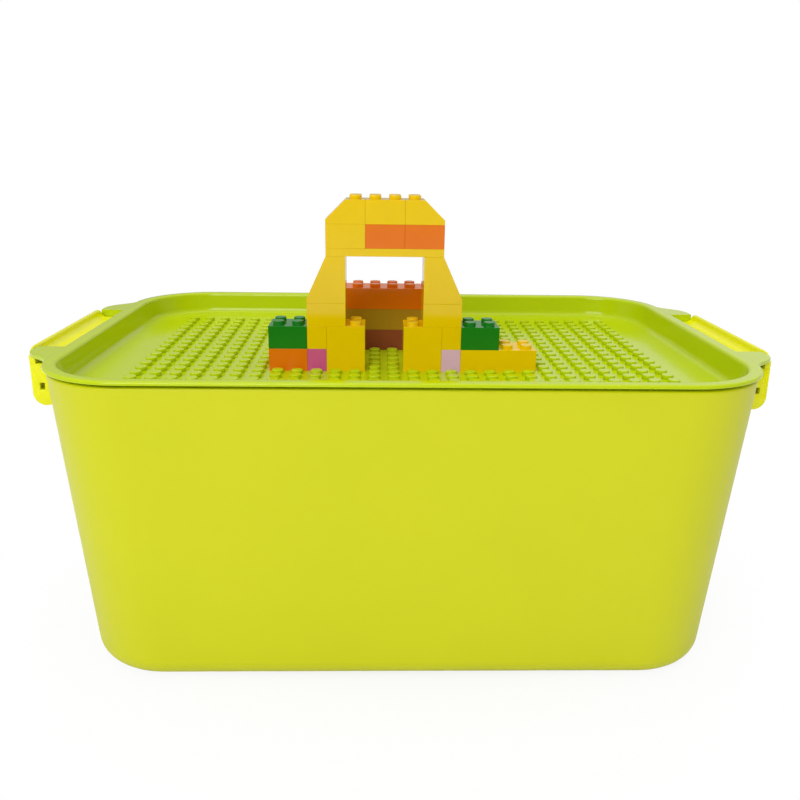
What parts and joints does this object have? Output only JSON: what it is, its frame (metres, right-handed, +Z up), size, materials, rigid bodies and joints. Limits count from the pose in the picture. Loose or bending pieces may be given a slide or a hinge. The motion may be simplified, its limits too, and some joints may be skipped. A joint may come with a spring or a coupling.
{
  "type": "building block storage box",
  "caption": "Tapered storage box with rounded corners, a sunken lid whose tray is a field of building studs, end latches, and a small brick house front standing on it.",
  "frame": {"origin": "middle of the box's base, on the surface that it stands on", "axes": "+X along the long side towards the right latch, +Y towards the back, +Z up"},
  "size_m": [0.2988, 0.1896, 0.1848],
  "materials": {
    "tub_plastic": "satin yellow-green moulding",
    "lid_plastic": "glossy lime moulding",
    "latch_plastic": "glossy lemon-yellow moulding",
    "brick_yellow": "glossy",
    "brick_orange": "glossy",
    "brick_green": "glossy",
    "brick_magenta": "glossy",
    "brick_pink": "glossy",
    "brick_red": "glossy",
    "brick_ochre": "glossy"
  },
  "bodies": {
    "box_body": {"box_tub": "tub_plastic"},
    "lid_body": {"lid": "lid_plastic", "wing_front_left": "lid_plastic", "wing_back_left": "lid_plastic", "wing_front_right": "lid_plastic", "wing_back_right": "lid_plastic"},
    "left_latch": {"latch_left": "latch_plastic", "latch_left_bar": "latch_plastic"},
    "right_latch": {"latch_right": "latch_plastic", "latch_right_bar": "latch_plastic"},
    "brick_model": {"base_orange": "brick_orange", "base_magenta": "brick_magenta", "pillar_left": "brick_yellow", "pillar_right": "brick_yellow", "base_pink": "brick_pink", "base_yellow": "brick_yellow", "upper_green_left": "brick_green", "upper_yellow_left": "brick_yellow", "upper_yellow_right": "brick_yellow", "upper_green_right": "brick_green", "shoulder_left": "brick_yellow", "shoulder_right": "brick_yellow", "steep_slope_left": "brick_yellow", "steep_slope_right": "brick_yellow", "lintel_plate": "brick_yellow", "crest_yellow": "brick_yellow", "crest_orange_middle": "brick_orange", "crest_orange_right": "brick_orange", "roof_slope_left": "brick_yellow", "roof_yellow": "brick_yellow", "roof_slope_right": "brick_yellow", "back_wall_low": "brick_red", "back_wall_middle": "brick_ochre", "back_wall_top": "brick_orange"}
  },
  "joints": [
    {"name": "lid_lift", "type": "slide", "parent": "box_body", "child": "lid_body", "axis": [0, 0, 1], "range_m": [0, 0.08]},
    {"name": "left_latch_swing", "type": "hinge", "parent": "box_body", "child": "left_latch", "pos_m": [-0.1428, 0, 0.1073], "axis": [0, -1, 0], "range_deg": [0, 120]},
    {"name": "right_latch_swing", "type": "hinge", "parent": "box_body", "child": "right_latch", "pos_m": [0.1428, 0, 0.1073], "axis": [0, 1, 0], "range_deg": [0, 120]},
    {"name": "brick_model_lift", "type": "slide", "parent": "lid_body", "child": "brick_model", "axis": [0, 0, 1], "range_m": [0, 0.03]}
  ]
}
